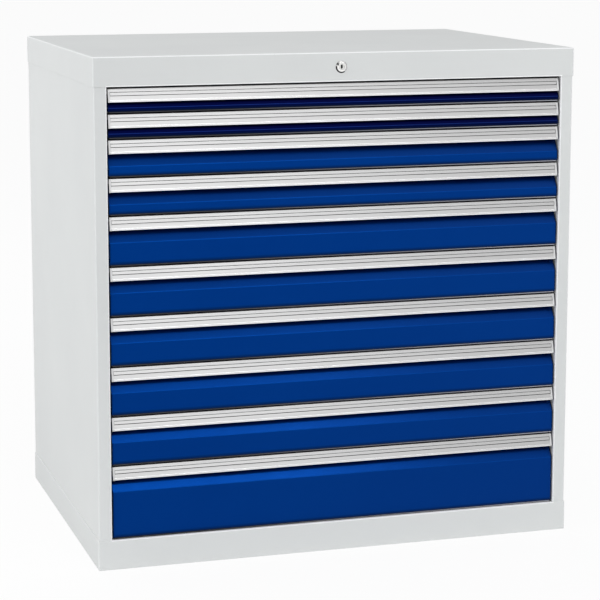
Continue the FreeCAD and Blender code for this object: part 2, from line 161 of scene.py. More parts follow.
floor_paint = bpy.data.materials.new("studio_floor_white")
floor_paint.use_nodes = True
paint = floor_paint.node_tree
paint.nodes.clear()
matt = paint.nodes.new("ShaderNodeBsdfDiffuse")
matt.inputs["Color"].default_value = (floor_grey, floor_grey, floor_grey, 1)
glow = glowing(paint, "ShaderNodeEmission", (1, 1, 1), 1.0)
white_share = maths(paint, "MULTIPLY", seen_directly(paint), floor_white_share)
floor_out = paint.nodes.new("ShaderNodeOutputMaterial")
paint.links.new(mixed_shaders(paint, white_share, matt.outputs[0], glow), floor_out.inputs["Surface"])
floor.data.materials.append(floor_paint)
print("the floor reaches", floor_reach, "m each way")

# %% [markdown]
# ## The lamps
#
# Large soft boxes stand round the cabinet. The one in front is mirrored by the slanted
# handles, at their left ends most, so they fade towards the right. The key box hangs high
# and is long and narrow: only the slope of the lowest front mirrors it, as a bright band.
# The others fill, so the housing's front, side and lid come out nearly alike, as in the
# photograph, and the back isn't left dark. Each has a place, a point that it looks at, a
# width and height, and a power in watts.

# %% Lamps
lamps = {
    "front_soft_box": ((0.42, -5.5, 1.72), (0.1, -0.36, 0.9), (2.8, 2.7), 34),
    "key_soft_box": ((0.66, -3.65, 3.66), (-0.2, -0.36, 0.17), (2.1, 0.84), 38),
    "left_soft_box": ((-4.2, -0.6, 1.9), (-0.5, 0.0, 0.40), (2.0, 2.0), 53),
    "right_soft_box": ((3.6, -2.6, 1.4), (0.4, -0.2, 0.3), (2.0, 2.0), 23),
    "rear_soft_box": ((-2.4, 3.6, 3.0), (0.0, 0.3, 0.5), (2.2, 2.2), 40),
}
for name, (place, aim, size, power) in lamps.items():
    light = bpy.data.lights.new(name, "AREA")
    light.shape = "RECTANGLE"
    light.size, light.size_y = size
    light.energy = power
    lamp = bpy.data.objects.new(name, light)
    lamp.location = place
    lamp.rotation_euler = (Vector(aim) - Vector(place)).to_track_quat("-Z", "Y").to_euler()
    bpy.context.scene.collection.objects.link(lamp)
print("lamps:", ", ".join(lamps))

# %% [markdown]
# ## Tools for the finishes
#
# Every finish starts from the same few steps: a shader with a plain colour, the place on
# the piece in metres, noise at a real size, colours mixed by that noise, and a bump made
# from it. Each step is a small function that adds its nodes and gives back a socket, so a
# finish reads as a recipe. A finish that is already there can be opened again, to lay
# something more over its colour.

# %% Finish tools
def start_finish(name, colour, roughness, metallic=0.0):
    """A new material: its tree, its shader and the place on the piece in metres."""
    material = bpy.data.materials.new(name)
    material.use_nodes = True
    tree = material.node_tree
    shader = tree.nodes["Principled BSDF"]
    shader.inputs["Base Color"].default_value = (*colour, 1)
    shader.inputs["Roughness"].default_value = roughness
    shader.inputs["Metallic"].default_value = metallic
    place = tree.nodes.new("ShaderNodeTexCoord").outputs["Object"]
    return material, tree, shader, place


def open_again(material):
    """The tree of a finish, its shader, the place on the piece and the colour that it has so far."""
    tree = material.node_tree
    shader = tree.nodes["Principled BSDF"]
    place = tree.nodes.new("ShaderNodeTexCoord").outputs["Object"]
    return tree, shader, place, shader.inputs["Base Color"].links[0].from_socket


def feed(tree, shader, colour=None, roughness=None, normal=None):
    """Leads the sockets that are given into the shader."""
    for name, value in (("Base Color", colour), ("Roughness", roughness), ("Normal", normal)):
        if value is not None:
            tree.links.new(value, shader.inputs[name])


def noise(tree, place, size, detail=2.0, stretch=(1, 1, 1)):
    """Noise whose spots are about as large as size in metres, drawn out along stretch."""
    turn = tree.nodes.new("ShaderNodeMapping")
    turn.inputs["Scale"].default_value = [1 / (size * s) for s in stretch]
    spots = tree.nodes.new("ShaderNodeTexNoise")
    spots.inputs["Scale"].default_value = 1.0
    spots.inputs["Detail"].default_value = detail
    tree.links.new(place, turn.inputs["Vector"])
    tree.links.new(turn.outputs[0], spots.inputs["Vector"])
    return spots.outputs["Fac"]


def to_range(tree, value, low, high, start=0.3, end=0.7):
    """Maps start to end onto low to high, and holds it there."""
    node = tree.nodes.new("ShaderNodeMapRange")
    node.inputs["From Min"].default_value = start
    node.inputs["From Max"].default_value = end
    node.inputs["To Min"].default_value = low
    node.inputs["To Max"].default_value = high
    tree.links.new(value, node.inputs["Value"])
    return node.outputs[0]


def mixed(tree, share, first, second):
    """A colour between first and second; each is a colour or a socket."""
    node = tree.nodes.new("ShaderNodeMix")
    node.data_type = "RGBA"
    tree.links.new(share, node.inputs["Factor"])
    for socket, value in (("A", first), ("B", second)):
        target = next(s for s in node.inputs if s.name == socket and s.type == "RGBA")
        if isinstance(value, tuple):
            target.default_value = (*value, 1)
        else:
            tree.links.new(value, target)
    return next(s for s in node.outputs if s.type == "RGBA")


def times(tree, first, second):
    """The product of two sockets."""
    return maths(tree, "MULTIPLY", first, second)


def bump(tree, height, depth, normal=None):
    """A bump of height, depth metres deep, over normal."""
    node = tree.nodes.new("ShaderNodeBump")
    node.inputs["Distance"].default_value = depth
    node.inputs["Strength"].default_value = 1.0
    tree.links.new(height, node.inputs["Height"])
    if normal is not None:
        tree.links.new(normal, node.inputs["Normal"])
    return node.outputs[0]


print("the tools for finishes are ready")

# %% [markdown]
# ## Tools that find edges, bends and hollows
#
# Paint thins and metal gets rubbed on edges, bends get a painted highlight, and hollows get
# painted shade, so a finish has to know where they are. The edge mask compares the true normal
# with one that the Bevel node rounds off over the edge. The bend mask asks whether the
# surface faces one of the sheet's flat sides. The open mask looks round each point with
# the Ambient Occlusion node. All three work on any mesh, and need no painted picture.

# %% Edges, bends and hollows
def rounded_normal(tree, radius):
    """A normal that runs smoothly round each sharp edge."""
    node = tree.nodes.new("ShaderNodeBevel")
    node.samples = 4
    node.inputs["Radius"].default_value = radius
    return node.outputs[0]


def likeness(tree, first, second):
    """1 where two directions are the same, and -1 where they are opposite."""
    node = tree.nodes.new("ShaderNodeVectorMath")
    node.operation = "DOT_PRODUCT"
    tree.links.new(first, node.inputs[0])
    if isinstance(second, Vector):
        node.inputs[1].default_value = second
    else:
        tree.links.new(second, node.inputs[1])
    return node.outputs["Value"]


def edge_mask(tree, radius):
    """1 on the edges and 0 on the flats."""
    true = tree.nodes.new("ShaderNodeNewGeometry").outputs["True Normal"]
    return to_range(tree, likeness(tree, rounded_normal(tree, radius), true), 1, 0, 0.9, 0.999)


def bend_mask(tree, flats):
    """0 where the surface faces a direction in flats, either way, and 1 on the bends between."""
    true = tree.nodes.new("ShaderNodeNewGeometry").outputs["True Normal"]
    nearest = None
    for flat in flats:
        facing = maths(tree, "ABSOLUTE", likeness(tree, true, Vector(flat).normalized()))
        nearest = facing if nearest is None else maths(tree, "MAXIMUM", nearest, facing)
    return to_range(tree, nearest, 1, 0, 0.985, 0.998)


def open_mask(tree, reach, start, end):
    """0 in narrow hollows and 1 in the open, looking reach metres round."""
    around = tree.nodes.new("ShaderNodeAmbientOcclusion")
    around.samples = 8
    around.inputs["Distance"].default_value = reach
    return to_range(tree, around.outputs["AO"], 0, 1, start, end)


def axes(tree, place):
    """The X, Y and Z of a place, each as a socket."""
    node = tree.nodes.new("ShaderNodeSeparateXYZ")
    tree.links.new(place, node.inputs[0])
    return node.outputs["X"], node.outputs["Y"], node.outputs["Z"]


print("the masks are ready")

# %% [markdown]
# ## The housing's paint
#
# The housing is powder coated in a light grey. Powder melts into a skin with a fine
# orange peel, a little uneven in gloss, and it draws back from sharp edges, where it
# looks lighter and gets rubbed. Two noises make the peel, a slow one makes the clouds in
# colour that a large sheet always has, another the patches in its gloss, and the edge
# mask lightens the edges. The bends of the sheet are painted a little lighter than its
# flats, as a painted highlight.

# %% Housing paint
square = ((1, 0, 0), (0, 1, 0), (0, 0, 1))
cloud_size = 0.35
patch_size = 0.06
rub_size = 0.012
dimple_size = 0.006
peel_size = 0.0011
rubbed_edge = 0.0012
rounded_edge = 0.0008


def powder_coat(name, colour, cloud, edge, bend_highlight, roughness, peel, specular, edge_share,
                flats=square, tint=(1, 1, 1)):
    """Powder coat on sheet steel: colour with its cloud, edge where it is rubbed, and bend_highlight
    painted on the bends as a highlight.
    """
    material, tree, shader, place = start_finish(name, colour, roughness)
    clouds = to_range(tree, noise(tree, place, cloud_size, 3.0), 0, 1)
    rubbed = to_range(tree, noise(tree, place, rub_size, 2.0), 0.2, edge_share, 0.35, 0.65)
    edges = times(tree, edge_mask(tree, rubbed_edge), rubbed)
    on_flats = mixed(tree, edges, mixed(tree, clouds, colour, cloud), edge)
    # The bends get bend_highlight, a painted highlight.
    coat = mixed(tree, bend_mask(tree, flats), on_flats, bend_highlight)
    patches = noise(tree, place, patch_size, 3.0)
    sheen = to_range(tree, patches, roughness - 0.015, roughness + 0.025)
    shader.inputs["Specular IOR Level"].default_value = specular
    shader.inputs["Specular Tint"].default_value = (*tint, 1)
    fine = bump(tree, noise(tree, place, peel_size, 2.0), peel, rounded_normal(tree, rounded_edge))
    coarse = bump(tree, noise(tree, place, dimple_size, 1.0), peel * 1.5, fine)
    feed(tree, shader, coat, sheen, coarse)
    return material


housing_paint = powder_coat("grey_powder_coat", colour=(0.655, 0.668, 0.662), cloud=(0.625, 0.637, 0.634),
                            edge=(0.80, 0.81, 0.80), bend_highlight=(0.72, 0.73, 0.73),
                            roughness=0.48, peel=0.00003, specular=0.3, edge_share=0.5)
print("made", housing_paint.name)

# %% [markdown]
# ## Painted highlights, painted light at the foot and painted shade in the gaps
#
# Some things show on the real housing that soft lamps alone don't give, so they are painted
# over its coat, by the place on the object. The front is painted a little lighter towards the
# floor, as painted light from the white ground that shone back at it, more than the plain
# floor here does. The folded edges round the drawers' opening and the bend along the lid's
# front get fine painted highlight lines. The narrow gaps are painted dark as shade, which
# the open mask finds.

# %% Painted light and shade on the housing
opening_half_width = 0.475
opening_bottom = 0.060
opening_top = 0.962
opening_front = -0.352
opening_line = 0.0022
lid_top = 1.020
lid_bend = 0.0025
front_plane = -0.36325
foot_height = 0.5
painted_floor_bounce = (0.722, 0.736, 0.729)
painted_edge_highlight = (0.92, 0.925, 0.93)
gap_reach = 0.010
painted_gap_shade = (0.02, 0.021, 0.024)

tree, shader, place, coat = open_again(housing_paint)
across, back, up = axes(tree, place)
in_front = maths(tree, "LESS_THAN", back, opening_front)
# Painted light: the front gets lighter towards the floor.
foot = times(tree, to_range(tree, up, 1, 0, 0.0, foot_height), in_front)
coat = mixed(tree, foot, coat, painted_floor_bounce)

# Painted highlight lines round the opening and along the lid's front bend.
beside = maths(tree, "SUBTRACT", maths(tree, "ABSOLUTE", across), opening_half_width)
middle = maths(tree, "SUBTRACT", up, (opening_top + opening_bottom) / 2)
above = maths(tree, "SUBTRACT", maths(tree, "ABSOLUTE", middle), (opening_top - opening_bottom) / 2)
away = maths(tree, "ABSOLUTE", maths(tree, "MAXIMUM", beside, above))
opening_edge = times(tree, to_range(tree, away, 1, 0, opening_line * 0.7, opening_line), in_front)
on_top = maths(tree, "GREATER_THAN", up, lid_top - lid_bend * 0.75)
lid_edge = times(tree, on_top, maths(tree, "LESS_THAN", back, front_plane + lid_bend))
coat = mixed(tree, maths(tree, "MAXIMUM", opening_edge, lid_edge), coat, painted_edge_highlight)

# Painted shade in the narrow gaps.
feed(tree, shader, mixed(tree, open_mask(tree, gap_reach, 0.12, 0.5), painted_gap_shade, coat))
print("lines round an opening of", 2 * opening_half_width, "by", round(opening_top - opening_bottom, 3))

# %% [markdown]
# ## The drawer fronts' paint
#
# The fronts wear the same kind of coat in a deep blue, smoother and calmer than the
# housing's. What gloss it has takes the pigment's own tint. In the recess behind each
# handle the coat is painted darker the deeper the hollow is, as painted shade. The folds
# along a front's foot and its two sides are painted dark as shade too. They are at another
# height on each front, so each front has a coat of its own. The two shallowest lie almost
# wholly in the shade of what is above them, so theirs is a darker blue painted as shade,
# and its bends get a painted highlight.

# %% Front paint
drawer_numbers = range(1, 11)
slope_normal = (0, -25.4, 16.5)
recess_reach = 0.05
foot_fold = (0.0025, 0.0085)
side_fold = (0.0005, 0.003)
fold_shade_blue = (0.001, 0.004, 0.014)
shallow_height = 0.06
blue = dict(colour=(0.0002, 0.0256, 0.156), cloud=(0.0002, 0.0228, 0.145), edge=(0.008, 0.060, 0.28),
            bend_highlight=(0.002, 0.042, 0.23), specular=0.8, tint=(0.001, 0.17, 1.0))
recess_shade_blue = (0.0, 0.0012, 0.018)
painted_shade_blue = dict(colour=(0.0001, 0.0007, 0.037), cloud=(0.0001, 0.0006, 0.033), edge=(0.003, 0.020, 0.09),
                   bend_highlight=(0.012, 0.036, 0.170), specular=0.2, tint=(0.02, 0.08, 1.0))
shallow_recess_shade_blue = (0.0, 0.0004, 0.006)


def fold_mask(tree, place, bottom, side):
    """1 on the folds along the bottom and the two sides of a front, and 0 on its face."""
    across, _, up = axes(tree, place)
    foot = to_range(tree, up, 1, 0, bottom + foot_fold[0], bottom + foot_fold[1])
    aside = to_range(tree, maths(tree, "ABSOLUTE", across), 0, 1, side - side_fold[1], side - side_fold[0])
    return maths(tree, "MAXIMUM", foot, aside)


def front_coat(name, shade, deep, low, high):
    """The coat of the front between its corners low and high, with painted shade in its deep recess and on
    its folds.
    """
    material = powder_coat(name, roughness=0.22, peel=0.000006, edge_share=0.4,
                           flats=square + (slope_normal,), **shade)
    tree, shader, place, coat = open_again(material)
    # Painted shade: darker in the recess behind the handle and on the folds.
    coat = mixed(tree, open_mask(tree, recess_reach, 0.30, 1.0), deep, coat)
    feed(tree, shader, mixed(tree, fold_mask(tree, place, low.z, high.x), coat, fold_shade_blue))
    return material


front_paints = {}
for number in drawer_numbers:
    name = "drawer_%02d_front" % number
    low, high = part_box(name)
    shallow = high.z - low.z < shallow_height
    shade, deep = (painted_shade_blue, shallow_recess_shade_blue) if shallow else (blue, recess_shade_blue)
    front_paints[name] = front_coat("blue_powder_coat_%02d" % number, shade, deep, low, high)
print("made", len(front_paints), "coats for the fronts")

# %% [markdown]
# ## The trays' paint
#
# The trays aren't seen in the photograph. Such cabinets have them in the housing's own
# grey, sprayed thinner and a little duller, with lighter edges where things are slid in
# and out over them.

# %% Tray paint
tray_paint = powder_coat("tray_grey_coat", colour=(0.60, 0.612, 0.607), cloud=(0.56, 0.572, 0.568),
                         edge=(0.74, 0.75, 0.74), bend_highlight=(0.70, 0.71, 0.705),
                         roughness=0.5, peel=0.00002, specular=0.4, edge_share=0.8)
print("made", tray_paint.name)

# %% [markdown]
# ## The handles' aluminium
#
# The handle strips are extruded and anodised in their natural colour. The die draws fine
# lines along the whole length, and the etching before anodising turns them into a satin
# grey. Noise that is drawn out two hundred times along X gives the lines: it drives the
# bump and the roughness, and a broader one the colour. Where the strip bends away from
# its flat faces it is painted nearly white, as a painted highlight.

# %% Handle aluminium
handle_flats = ((0, -25.8, 5.5), (1, 0, 0))
drawn_edge = 0.0006
drawn_rounding = 0.0004


def drawn_metal(name, colour, dark, edge, roughness, depth, line, stretch, flats=None):
    """Metal with fine lines drawn along stretch, and edge on its edges, or painted as a highlight where it
    doesn't face flats.
    """
    material, tree, shader, place = start_finish(name, colour, roughness, 1.0)
    lines = noise(tree, place, line, 3.0, stretch)
    broad = noise(tree, place, line * 5, 2.0, stretch)
    colours = mixed(tree, to_range(tree, broad, 0, 1), colour, dark)
    edges = bend_mask(tree, flats) if flats else edge_mask(tree, drawn_edge)
    feed(tree, shader, mixed(tree, edges, colours, edge),
         to_range(tree, lines, roughness - 0.06, roughness + 0.06),
         bump(tree, lines, depth, rounded_normal(tree, drawn_rounding)))
    return material


# The edge colour on the handle is a painted highlight on its nose and bends.
handle_aluminium = drawn_metal("anodised_aluminium", colour=(0.42, 0.42, 0.42), dark=(0.39, 0.39, 0.392),
                               edge=(0.93, 0.93, 0.93), roughness=0.34, depth=0.00001, line=0.0008,
                               stretch=(200, 1, 1), flats=handle_flats)
print("made", handle_aluminium.name)

# %% [markdown]
# ## The end caps' plastic
#
# The caps are injection moulded in a grey that matches the anodised strip, with the
# fine grain that is etched into such moulds. Their hollows and their outer sides, in the
# narrow gaps beside the posts, are painted dark as shade.

# %% Cap plastic
mould_cloud_size = 0.01
mould_lighter = 1.08
mould_rounding = 0.0004
cap_hollow_reach = 0.008
cap_side_start, cap_side_end = 0.4713, 0.4718
cap_shade = (0.008, 0.008, 0.009)


def moulded(name, colour, roughness, grain_size, grain_depth):
    """Moulded plastic with a fine etched grain."""
    material, tree, shader, place = start_finish(name, colour, roughness)
    clouds = noise(tree, place, mould_cloud_size, 2.0)
    lighter = tuple(min(1.0, c * mould_lighter) for c in colour)
    grain = noise(tree, place, grain_size, 2.0)
    feed(tree, shader, mixed(tree, to_range(tree, clouds, 0, 1), colour, lighter),
         to_range(tree, clouds, roughness - 0.04, roughness + 0.06),
         bump(tree, grain, grain_depth, rounded_normal(tree, mould_rounding)))
    return material


cap_plastic = moulded("moulded_grey", colour=(0.60, 0.60, 0.60), roughness=0.45,
                      grain_size=0.0006, grain_depth=0.00002)
tree, shader, place, plastic = open_again(cap_plastic)
# Painted shade in the cap's hollows and on its outer sides.
plastic = mixed(tree, open_mask(tree, cap_hollow_reach, 0.3, 0.7), cap_shade, plastic)
from_middle = maths(tree, "ABSOLUTE", axes(tree, place)[0])
outer_side = to_range(tree, from_middle, 0, 1, cap_side_start, cap_side_end)
feed(tree, shader, mixed(tree, outer_side, plastic, cap_shade))
print("made", cap_plastic.name)

# %% [markdown]
# ## Zinc on the steel that stays bare
#
# The runners are cold rolled and bright zinc plated, with lines along the run. The
# uprights and the lock bar are cut from galvanised sheet, whose zinc sets in large pale
# crystals. A Voronoi texture has just such cells, and each gets its own grey.

# %% Zinc and rail steel
crystals_per_metre = 140.0
zinc_dark, zinc_light = (0.44, 0.46, 0.47), (0.60, 0.62, 0.63)
zinc_grain_size, zinc_grain_depth, zinc_rounding = 0.004, 0.00002, 0.0005

rail_steel = drawn_metal("plated_runner_steel", colour=(0.56, 0.57, 0.585), dark=(0.48, 0.49, 0.505),
                         edge=(0.70, 0.71, 0.72), roughness=0.32, depth=0.000008, line=0.0009,
                         stretch=(1, 120, 1))

zinc_steel, tree, shader, place = start_finish("galvanised_sheet", (0.52, 0.54, 0.55), 0.42, 1.0)
crystals = tree.nodes.new("ShaderNodeTexVoronoi")
crystals.inputs["Scale"].default_value = crystals_per_metre
tree.links.new(place, crystals.inputs["Vector"])
greys = tree.nodes.new("ShaderNodeSeparateColor")
tree.links.new(crystals.outputs["Color"], greys.inputs[0])
grain = noise(tree, place, zinc_grain_size)
feed(tree, shader, mixed(tree, greys.outputs[0], zinc_dark, zinc_light),
     to_range(tree, greys.outputs[1], 0.34, 0.52, 0, 1),
     bump(tree, grain, zinc_grain_depth, rounded_normal(tree, zinc_rounding)))
print("made", rail_steel.name, "and", zinc_steel.name)

# %% [markdown]
# ## The lock's metals
#
# The lock's ring and barrel are nickel plated over zinc and turned on a lathe, so their
# lines run round the lock's axis. A wave texture in rings does that: at a scale of 125
# its rings are two and a half millimetres apart. The plug is plain turned steel, a little
# darker.

# %% Lock metals
lock_centre = Vector((0.0, 0.0, 0.991))
wear_size = 0.003
wear_darker = 0.82
turned_rounding = 0.0003


def turned_metal(name, colour, roughness, ring_scale, ring_depth):
    """Metal turned round the lock's axis."""
    material, tree, shader, place = start_finish(name, colour, roughness, 1.0)
    middle = tree.nodes.new("ShaderNodeMapping")
    middle.inputs["Location"].default_value = -lock_centre
    rings = tree.nodes.new("ShaderNodeTexWave")
    rings.wave_type = "RINGS"
    rings.rings_direction = "Y"
    rings.inputs["Scale"].default_value = ring_scale
    rings.inputs["Distortion"].default_value = 0.4
    tree.links.new(place, middle.inputs["Vector"])
    tree.links.new(middle.outputs[0], rings.inputs["Vector"])
    wear = noise(tree, place, wear_size, 3.0)
    darker = tuple(c * wear_darker for c in colour)
    feed(tree, shader, mixed(tree, to_range(tree, wear, 0, 1), colour, darker),
         to_range(tree, wear, roughness - 0.05, roughness + 0.08),
         bump(tree, rings.outputs["Fac"], ring_depth, rounded_normal(tree, turned_rounding)))
    return material


lock_nickel = turned_metal("satin_nickel", colour=(0.64, 0.64, 0.63), roughness=0.22,
                           ring_scale=125.0, ring_depth=0.000004)
lock_steel = turned_metal("turned_steel", colour=(0.54, 0.54, 0.53), roughness=0.3,
                          ring_scale=100.0, ring_depth=0.000006)
print("made", lock_nickel.name, "and", lock_steel.name)

# %% [markdown]
# ## The dark parts of the lock's ring
#
# The ring isn't evenly bright. It is painted nearly black in a wide sector at the lower
# left and greyer at the right, as a painted reflection, and has a thin dark streak at the
# upper left. The mask of each is the product of three: one for the angle and one for each
# of two radii round the lock's axis. Angles count in degrees from the right, anticlockwise.

# %% Dark parts of the ring
sector_blur = 0.08
radius_blur = 0.0006
dark_sectors = (
    {"angle": 238, "spread": 66, "inner": 0.0094, "outer": 0.0130, "colour": (0.015, 0.015, 0.016)},
    {"angle": 5, "spread": 50, "inner": 0.0078, "outer": 0.0110, "colour": (0.42, 0.42, 0.42)},
    {"angle": 145, "spread": 6, "inner": 0.0070, "outer": 0.0130, "colour": (0.10, 0.10, 0.10)},
)


def sector_mask(tree, across, up, angle, spread, inner, outer):
    """1 within spread degrees of angle, between the radii inner and outer, and 0 elsewhere."""
    radius = maths(tree, "SQRT", maths(tree, "ADD", times(tree, across, across), times(tree, up, up)))
    along = maths(tree, "ADD", maths(tree, "MULTIPLY", across, math.cos(math.radians(angle))),
                  maths(tree, "MULTIPLY", up, math.sin(math.radians(angle))))
    toward = maths(tree, "DIVIDE", along, maths(tree, "MAXIMUM", radius, 0.001))
    edge = math.cos(math.radians(spread))
    facing = to_range(tree, toward, 0, 1, edge - sector_blur, edge + sector_blur * (1 - edge))
    outside = to_range(tree, radius, 0, 1, inner, inner + radius_blur)
    inside = to_range(tree, radius, 1, 0, outer, outer + radius_blur)
    return times(tree, facing, times(tree, outside, inside))


tree, shader, place, nickel = open_again(lock_nickel)
across, _, height = axes(tree, place)
up = maths(tree, "SUBTRACT", height, lock_centre.z)
# Painted reflection in the two broad sectors, and the thin dark streak.
for part in dark_sectors:
    mask = sector_mask(tree, across, up, part["angle"], part["spread"], part["inner"], part["outer"])
    nickel = mixed(tree, mask, nickel, part["colour"])
feed(tree, shader, nickel)
print("dark parts on the ring:", len(dark_sectors))

# %% [markdown]
# ## Finishes onto the CAD nodes
#
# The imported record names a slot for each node, so each node finds its finish by that
# name. Blender adds a dot and a number to a name that is already taken, so only the part
# before the dot counts. The blue fronts go by their own names, because each has its own
# coat.

# %% Dress the nodes
finishes = {
    "housing_paint": housing_paint, "tray_paint": tray_paint,
    "handle_aluminium": handle_aluminium, "cap_plastic": cap_plastic, "rail_steel": rail_steel,
    "zinc_steel": zinc_steel, "lock_nickel": lock_nickel, "lock_steel": lock_steel,
}
dressed = 0
for name, node in nodes.items():
    for slot in node.material_slots:
        slot.material = front_paints.get(name) or finishes[slot.material.name.split(".")[0]]
        dressed += 1
print("slots dressed:", dressed)

# %% [markdown]
# ## Tools for small pieces
#
# Every small piece is built in a bmesh, point by point, so its mesh has no stray faces.
# Two steps come back in most of them: a closed row of points is joined to the next by
# faces, and the mesh gets its finish and goes into the scene.

# %% Tools for small pieces
def bridge(build, first, second):
    """The faces between two closed rows of as many points each."""
    count = len(first)
    return [build.faces.new((first[k], first[(k + 1) % count], second[(k + 1) % count], second[k]))
            for k in range(count)]


def new_piece(name, build, finish):
    """A piece with the mesh that was built and its finish."""
    mesh = bpy.data.meshes.new(name)
    build.to_mesh(mesh)
    build.free()
    mesh.materials.append(finish)
    piece = bpy.data.objects.new(name, mesh)
    bpy.context.scene.collection.objects.link(piece)
    return piece


print("the tools for small pieces are ready")

# %% [markdown]
# ## The strips in the handles' channels
#
# The extrusion has a channel with two lips over its whole length, for a strip that
# labels the drawer. The strips are blank and satin silver, so they hardly show: what
# shows are the two fine dark lines above and below them, where a black bar behind the
# strip looks out between its edges and the lips as painted shade in those grooves. Both
# are thin bars with rounded edges, laid out in the handle's own slant and slid in between
# its end caps. Each has two drops, from the handle's top edge down along the slant, and
# two depths behind its face.

# %% Label strips
handle_top_depth = 0.0085
lean = Vector((0.0, -0.0055, -0.0258)).normalized()
inward = Vector((0.0, 0.0258, -0.0055)).normalized()
strip_half_length = 0.4672
strip_drop, strip_depth, strip_bevel = (0.0070, 0.0129), (0.0008, 0.0013), 0.00015
groove_shade_drop, groove_shade_depth, groove_shade_bevel = (0.0056, 0.0146), (0.0016, 0.0020), 0.0001


def slanted_bar(name, corner, drop, depth, bevel, finish):
    """A thin bar in the handle's slant, between two drops below corner and two depths behind it."""
    build = bmesh.new()
    section = ((drop[0], depth[0]), (drop[1], depth[0]), (drop[1], depth[1]), (drop[0], depth[1]))
    left, right = ([build.verts.new(Vector((x, corner.y, corner.z)) + lean * a + inward * b)
                    for a, b in section] for x in (-strip_half_length, strip_half_length))
    build.faces.new(left)
    build.faces.new(right[::-1])
    bridge(build, right, left)
    bmesh.ops.recalc_face_normals(build, faces=build.faces)
    long_edges = [e for e in build.edges if abs(e.verts[0].co.x - e.verts[1].co.x) > strip_half_length]
    bmesh.ops.bevel(build, geom=long_edges, offset=bevel, segments=2, affect="EDGES", profile=0.5)
    return new_piece(name, build, finish)


# A black bar as painted shade in the handle's grooves.
carrier_black = moulded("carrier_black", colour=(0.012, 0.012, 0.013), roughness=0.6,
                        grain_size=0.0008, grain_depth=0.00002)
strip_silver = drawn_metal("strip_silver", colour=(0.42, 0.42, 0.42), dark=(0.40, 0.40, 0.402),
                           edge=(0.5, 0.5, 0.5), roughness=0.34, depth=0.000006, line=0.0006,
                           stretch=(200, 1, 1))
for number in drawer_numbers:
    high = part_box("drawer_%02d_handle" % number)[1].z
    corner = Vector((0.0, front_plane + handle_top_depth, high))
    groove_shade = slanted_bar("drawer_%02d_label_carrier" % number, corner,
                          groove_shade_drop, groove_shade_depth, groove_shade_bevel, carrier_black)
    strip = slanted_bar("drawer_%02d_label_strip" % number, corner,
                        strip_drop, strip_depth, strip_bevel, strip_silver)
    for piece in (groove_shade, strip):
        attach(piece, "drawer_%02d" % number)

# %% [markdown]
# ## The tray's edge under each front
#
# Under each blue front a thin line of bare zinc looks out: the lower edge of the steel
# that the front is screwed to. It is a slim bar with rounded edges, a little behind the
# front's face. It is painted dark at the left and light towards the right, as painted
# light, so it fades at the left.

# %% Tray edges
front_setback = 0.0055
edge_half_length = 0.4700
edge_height = 0.0012
edge_overlap = 0.0001
edge_near, edge_far = 0.0012, 0.0030
edge_bevel = 0.0003
edge_cloud_size, edge_cloud_stretch = 0.02, (8, 1, 1)
edge_grain_depth, edge_rounding = 0.00001, 0.0003
edge_painted_shade, edge_painted_light = (0.035, 0.036, 0.042), (0.42, 0.42, 0.47)
fade_start, fade_end, fade_wobble = -0.2, 0.52, 0.12

# Painted light: dark at the left, light towards the right.
edge_zinc, tree, shader, place = start_finish("edge_zinc", (0.30, 0.30, 0.32), 0.5)
cloudy = noise(tree, place, edge_cloud_size, 3.0, edge_cloud_stretch)
run = maths(tree, "ADD", axes(tree, place)[0], maths(tree, "MULTIPLY", cloudy, fade_wobble))
feed(tree, shader, mixed(tree, to_range(tree, run, 0, 1, fade_start, fade_end), edge_painted_shade, edge_painted_light),
     to_range(tree, cloudy, 0.42, 0.58),
     bump(tree, cloudy, edge_grain_depth, rounded_normal(tree, edge_rounding)))


def bevelled_bar(name, low, high, bevel, finish):
    """A bar between two corners with all its edges rounded."""
    build = bmesh.new()
    for corner in bmesh.ops.create_cube(build, size=1.0)["verts"]:
        corner.co = Vector(low[k] if corner.co[k] < 0 else high[k] for k in range(3))
    bmesh.ops.bevel(build, geom=build.edges[:], offset=bevel, segments=2, affect="EDGES", profile=0.5)
    return new_piece(name, build, finish)


front_face = front_plane + front_setback
for number in drawer_numbers:
    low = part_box("drawer_%02d_front" % number)[0].z
    edge = bevelled_bar("drawer_%02d_tray_edge" % number,
                        (-edge_half_length, front_face + edge_near, low - edge_height),
                        (edge_half_length, front_face + edge_far, low + edge_overlap),
                        edge_bevel, edge_zinc)
    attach(edge, "drawer_%02d" % number)
print("tray edges laid under", len(drawer_numbers), "fronts")

# %% [markdown]
# ## The lock's rosette
#
# The lock's ring sits in a thin turned rosette that hides the hole in the steel. It is a
# profile spun round the lock's axis, as a lathe would make it.

# %% Lock rosette
rosette_profile = ((0.0109, 0.0002), (0.0109, -0.0008), (0.0112, -0.0011),
                   (0.0117, -0.0010), (0.0121, -0.0006), (0.0123, 0.0002))
rosette_steps = 64


def circle(steps):
    """The angles of a full turn in equal steps."""
    return [2 * math.pi * step / steps for step in range(steps)]


def spun_ring(name, profile, steps, finish):
    """A ring made by spinning a closed profile of (radius, y) round the lock's axis."""
    build = bmesh.new()
    rows = [[build.verts.new((r * math.cos(angle), y, lock_centre.z + r * math.sin(angle)))
             for r, y in profile] for angle in circle(steps)]
    for step in range(steps):
        bridge(build, rows[step], rows[(step + 1) % steps])
    bmesh.ops.recalc_face_normals(build, faces=build.faces)
    for face in build.faces:
        face.smooth = True
    return new_piece(name, build, finish)


rosette = spun_ring("lock_rosette", [(r, front_plane + y) for r, y in rosette_profile],
                    rosette_steps, lock_nickel)
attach(rosette, "cabinet")
print("rosette round", tuple(lock_centre), "with", len(rosette.data.polygons), "faces")

# %% [markdown]
# ## The keyhole
#
# The keyhole is a slot with round ends, set a hair in front of the plug. Its black is
# nearly pure and has hardly any gloss: it is painted shade that stands in for the dark of
# the hole. It rides on the plug, so it turns with the key.

